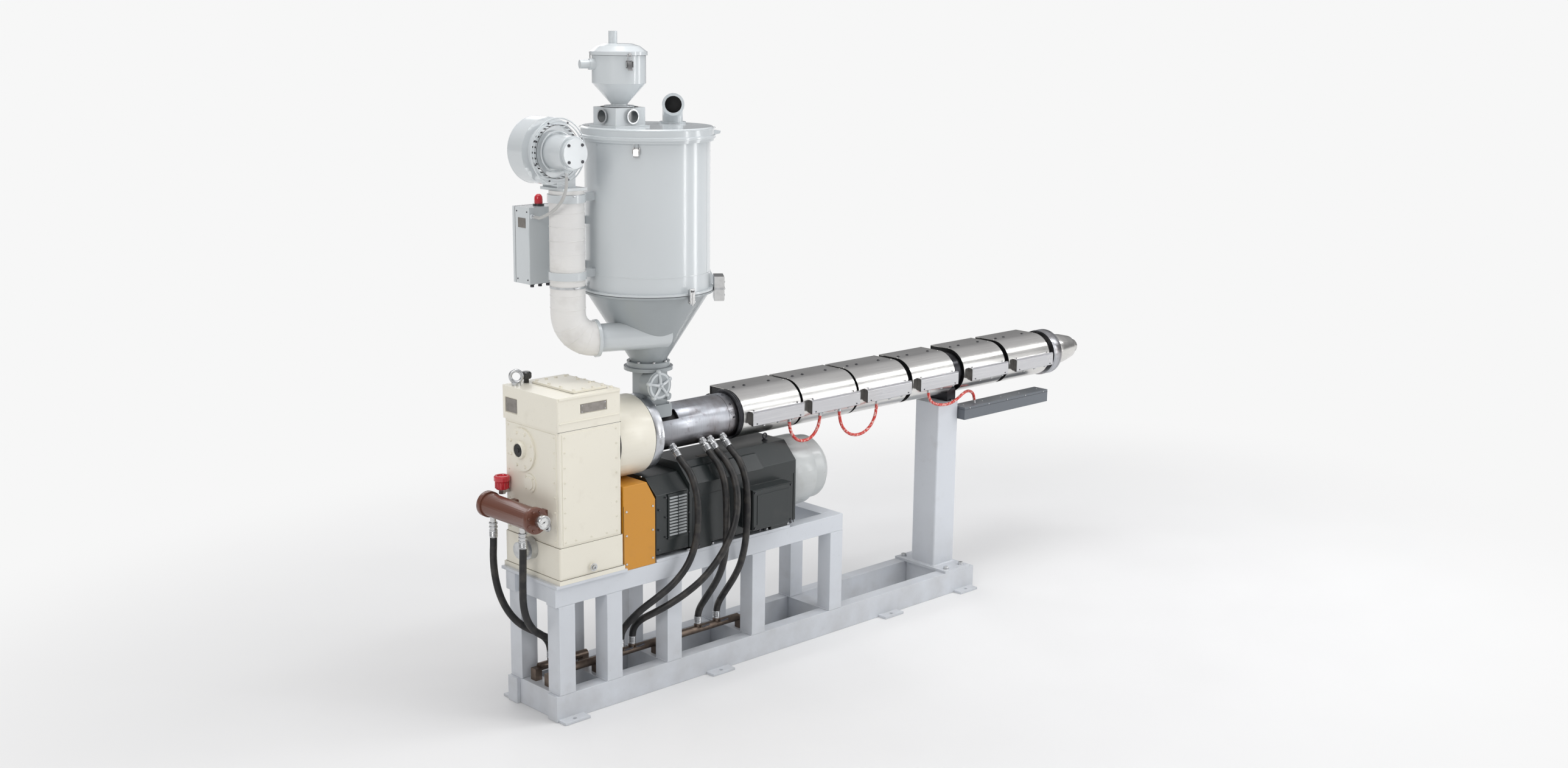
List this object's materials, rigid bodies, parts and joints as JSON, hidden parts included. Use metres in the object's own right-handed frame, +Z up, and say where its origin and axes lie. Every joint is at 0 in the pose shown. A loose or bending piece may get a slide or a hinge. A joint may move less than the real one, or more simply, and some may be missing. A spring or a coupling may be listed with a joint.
{
  "type": "plastic extruder",
  "caption": "Single screw plastic extruder on a steel bed: gearbox, motor, heated and air cooled barrel, with a hopper dryer, hot air blower and vacuum receiver above the feed throat.",
  "frame": {"origin": "on the floor under the dryer axis, at the underside of the bed's cross member, on the screw's vertical plane", "axes": "+X along the screw axis towards the melt outlet, +Z up, -Y is the operator's side"},
  "size_m": [4.662, 0.7592, 3.489],
  "materials": {
    "frame_paint": "semi-gloss paint, light blue grey",
    "tray_paint": "dark grey paint",
    "gearbox_paint": "gloss enamel, cream",
    "dryer_paint": "gloss enamel, light grey",
    "guard_paint": "semi-gloss enamel, ochre yellow",
    "motor_paint": "semi-gloss enamel, dark grey green",
    "cowl_paint": "light grey enamel",
    "machined_steel": "turned steel with oil stains",
    "polished_steel": "bright polished sheet",
    "black_steel": "blackened steel",
    "fan_black": "black enamel",
    "galvanised": "zinc plated",
    "cooler_brown": "red brown oxide paint",
    "gauge_steel": "polished case",
    "red_plastic": "glossy red",
    "hose_rubber": "black rubber",
    "lead_sleeve": "red glass fibre sleeve",
    "conduit_plastic": "light grey plastic",
    "lagging": "white lagging tape"
  },
  "bodies": {
    "root": {"alarm_lamp": "red_plastic", "barrel": "black_steel", "barrel_end_ring": "machined_steel", "blower_conduit": "conduit_plastic", "blower_motor": "dryer_paint", "blower_scroll": "dryer_paint", "cable_tray": "tray_paint", "cooler_hose_1": "hose_rubber", "cooler_hose_2": "hose_rubber", "cooling_fans": "fan_black", "coupling_guard": "guard_paint", "dryer_body": "dryer_paint", "dryer_cone": "dryer_paint", "dryer_control_box": "dryer_paint", "dryer_joint_clamps": "galvanised", "dryer_lid": "dryer_paint", "dryer_side_brackets": "dryer_paint", "exhaust_elbow": "dryer_paint", "feed_section": "machined_steel", "feed_water_nipples": "galvanised", "frame_cross_members": "frame_paint", "frame_posts": "frame_paint", "frame_side_rails": "frame_paint", "frame_upper_beams": "frame_paint", "gearbox_base": "gearbox_paint", "gearbox_bearing_caps": "gearbox_paint", "gearbox_housing": "gearbox_paint", "gearbox_inspection_cover": "gearbox_paint", "gearbox_top_case": "gearbox_paint", "heater_lead_1": "lead_sleeve", "heater_lead_2": "lead_sleeve", "heater_lead_3": "lead_sleeve", "heater_shrouds": "polished_steel", "heater_terminal_covers": "polished_steel", "hot_air_duct": "dryer_paint", "insulated_pipe": "lagging", "lifting_eye": "galvanised", "machined_seat_plates": "frame_paint", "motor_body": "motor_paint", "motor_end_cowl": "cowl_paint", "motor_front_cover": "motor_paint", "oil_caps": "red_plastic", "oil_cooler": "cooler_brown", "oil_pipe_fittings": "galvanised", "oil_pump": "galvanised", "outlet_adapter": "polished_steel", "pressure_gauge": "gauge_steel", "receiver_body": "dryer_paint", "receiver_discharge_box": "dryer_paint", "receiver_lid": "dryer_paint", "support_column": "frame_paint", "support_saddle": "black_steel", "throat": "dryer_paint", "thrust_flange_ring": "machined_steel", "thrust_housing": "gearbox_paint", "water_hose_1": "hose_rubber", "water_hose_2": "hose_rubber", "water_hose_3": "hose_rubber", "water_hose_4": "hose_rubber", "water_manifolds": "galvanised"}
  },
  "joints": []
}
